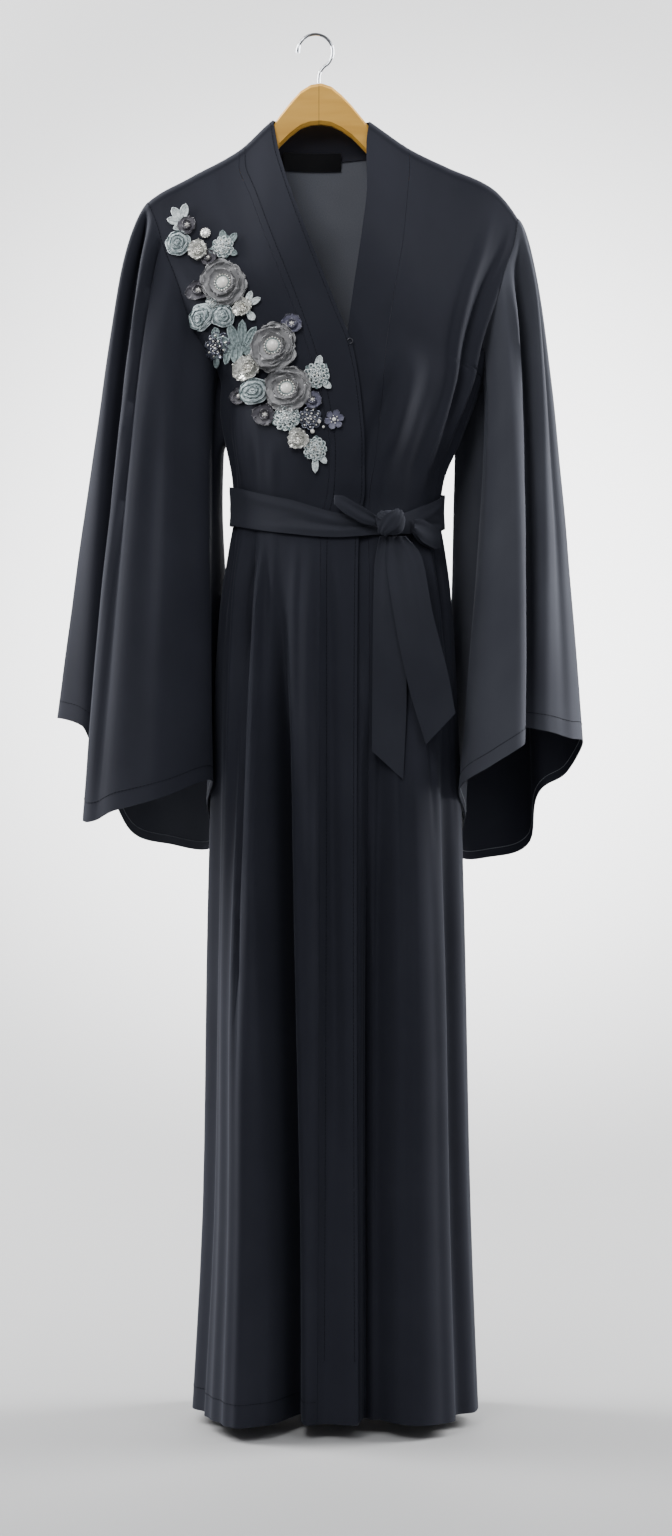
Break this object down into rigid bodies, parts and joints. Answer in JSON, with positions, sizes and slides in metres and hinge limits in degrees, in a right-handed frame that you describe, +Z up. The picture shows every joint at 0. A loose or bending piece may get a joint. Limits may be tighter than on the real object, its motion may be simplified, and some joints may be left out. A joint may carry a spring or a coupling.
{
  "type": "abaya cloak on a hanger",
  "caption": "Long dark open-front cloak with wide sleeves, tied belt and raised flowers down one front, hanging on a wooden hanger with a metal hook.",
  "frame": {"origin": "inner crown of the hanger's hook, where it hangs", "axes": "+X towards the wearer's left, -Y out of the front, +Z up"},
  "size_m": [0.5889, 0.2461, 1.5294],
  "materials": {
    "crepe": "matte",
    "belt_crepe": "matte",
    "label_satin": "satin",
    "dark_metal": "satin",
    "honey_wood": "satin",
    "chrome": "polished",
    "rose_cord": "matte",
    "pale_lace": "matte",
    "grey_organza": "sheer",
    "dark_sequins": "glossy",
    "silver_beads": "polished"
  },
  "bodies": {
    "root": {"front_right": "crepe", "front_left": "crepe", "back": "crepe", "sleeve_right": "crepe", "sleeve_left": "crepe", "band_right": "crepe", "band_left": "crepe", "band_neck": "crepe", "belt": "belt_crepe", "belt_knot": "belt_crepe", "bow_loop_right": "belt_crepe", "bow_loop_left": "belt_crepe", "belt_tail_back": "belt_crepe", "belt_tail_front": "belt_crepe", "label": "label_satin", "hook_eye": "dark_metal", "hanger_wood": "honey_wood", "hanger_hook": "chrome", "rose_a": "rose_cord", "rose_b": "rose_cord", "rose_c": "rose_cord", "rose_d": "rose_cord", "lace_blossom_top": "pale_lace", "lace_silver_mid": "pale_lace", "lace_cluster_edge": "pale_lace", "lace_cluster_low": "pale_lace", "leaf_cluster": "pale_lace", "leaf_sprig": "pale_lace", "tip_cluster": "pale_lace", "organza_upper": "grey_organza", "organza_middle": "grey_organza", "organza_lower": "grey_organza", "organza_dark_low": "grey_organza", "blossom_dark_top": "dark_sequins", "blossom_small_side": "dark_sequins", "blossom_small_top": "dark_sequins", "blossom_small_edge": "dark_sequins", "sequin_dark_side": "dark_sequins", "beads_purple": "dark_sequins", "sequins_purple_low": "dark_sequins", "bead_silver": "silver_beads", "flower_silver_top": "silver_beads", "sequin_silver_side": "silver_beads", "petals_silver_low": "silver_beads"}
  },
  "joints": []
}
